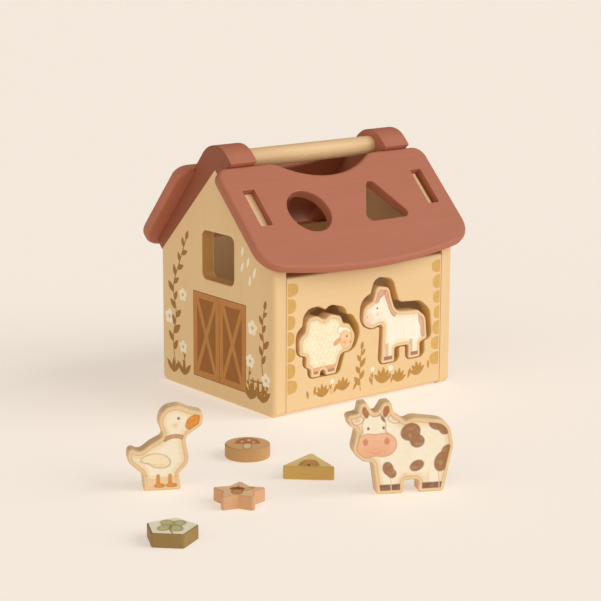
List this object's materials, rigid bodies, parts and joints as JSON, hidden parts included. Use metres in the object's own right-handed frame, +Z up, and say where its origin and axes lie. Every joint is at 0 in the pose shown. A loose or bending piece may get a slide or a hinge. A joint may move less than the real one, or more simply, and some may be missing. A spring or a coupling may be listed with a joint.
{
  "type": "wooden barn puzzle",
  "caption": "Wooden barn shape sorter with a carry handle, a tip-out front wall, animal cut-outs, sloped roof holes, loose animals and blocks.",
  "frame": {"origin": "on the floor plane, under the centre of the barn", "axes": "+X along the ridge to the right gable, -Y out of the front wall with the sheep and the horse, +Z up"},
  "size_m": [0.447, 0.3957, 0.2113],
  "materials": {
    "left_gable": "pale painted wood with a printed barn door and plants",
    "right_gable": "pale painted wood",
    "front_flap": "pale painted wood with printed quoins and plants",
    "back_wall": "pale painted wood",
    "floor_board": "clear matt lacquer",
    "left_ridge_bracket": "matt terracotta paint",
    "right_ridge_bracket": "matt terracotta paint",
    "front_roof": "matt terracotta paint",
    "back_roof": "matt terracotta paint",
    "carry_handle": "smooth natural beech",
    "flap_pins": "plain steel",
    "left_catch_block": "natural beech",
    "right_catch_block": "natural beech",
    "catch_magnets": "nickel plated",
    "flap_magnets": "nickel plated",
    "back_wall_dowels": "natural beech",
    "floor_dowels": "natural beech",
    "sheep_piece": "printed faces, natural wood rim",
    "horse_piece": "printed faces, natural wood rim",
    "cow_piece": "printed faces, natural wood rim",
    "duck_piece": "printed faces, natural wood rim",
    "round_block": "tan painted wood",
    "triangle_block": "soft yellow painted wood",
    "star_block": "pinkish tan painted wood",
    "pentagon_block": "olive sides, cream top"
  },
  "bodies": {
    "barn": {"left_gable": "left_gable", "right_gable": "right_gable", "back_wall": "back_wall", "floor_board": "floor_board", "left_ridge_bracket": "left_ridge_bracket", "right_ridge_bracket": "right_ridge_bracket", "front_roof": "front_roof", "back_roof": "back_roof", "carry_handle": "carry_handle", "flap_pins": "flap_pins", "left_catch_block": "left_catch_block", "right_catch_block": "right_catch_block", "catch_magnets": "catch_magnets", "back_wall_dowels": "back_wall_dowels", "floor_dowels": "floor_dowels"},
    "flap": {"front_flap": "front_flap", "flap_magnets": "flap_magnets"},
    "sheep": {"sheep_piece": "sheep_piece"},
    "horse": {"horse_piece": "horse_piece"},
    "cow": {"cow_piece": "cow_piece"},
    "duck": {"duck_piece": "duck_piece"},
    "round": {"round_block": "round_block"},
    "triangle": {"triangle_block": "triangle_block"},
    "star": {"star_block": "star_block"},
    "pentagon": {"pentagon_block": "pentagon_block"}
  },
  "joints": [
    {"name": "flap_hinge", "type": "hinge", "parent": "barn", "child": "flap", "pos_m": [0, -0.0741, 0.009], "axis": [1, 0, 0], "range_deg": [0, 90]},
    {"name": "sheep_push", "type": "slide", "parent": "flap", "child": "sheep", "axis": [0, 1, 0], "range_m": [-0.03, 0.03]},
    {"name": "horse_push", "type": "slide", "parent": "flap", "child": "horse", "axis": [0, 1, 0], "range_m": [-0.03, 0.03]},
    {"name": "cow_lift", "type": "slide", "parent": "barn", "child": "cow", "axis": [0, 0, 1], "range_m": [0, 0.05]},
    {"name": "duck_lift", "type": "slide", "parent": "barn", "child": "duck", "axis": [0, 0, 1], "range_m": [0, 0.05]},
    {"name": "round_lift", "type": "slide", "parent": "barn", "child": "round", "axis": [0, 0, 1], "range_m": [0, 0.05]},
    {"name": "triangle_lift", "type": "slide", "parent": "barn", "child": "triangle", "axis": [0, 0, 1], "range_m": [0, 0.05]},
    {"name": "star_lift", "type": "slide", "parent": "barn", "child": "star", "axis": [0, 0, 1], "range_m": [0, 0.05]},
    {"name": "pentagon_lift", "type": "slide", "parent": "barn", "child": "pentagon", "axis": [0, 0, 1], "range_m": [0, 0.05]}
  ]
}
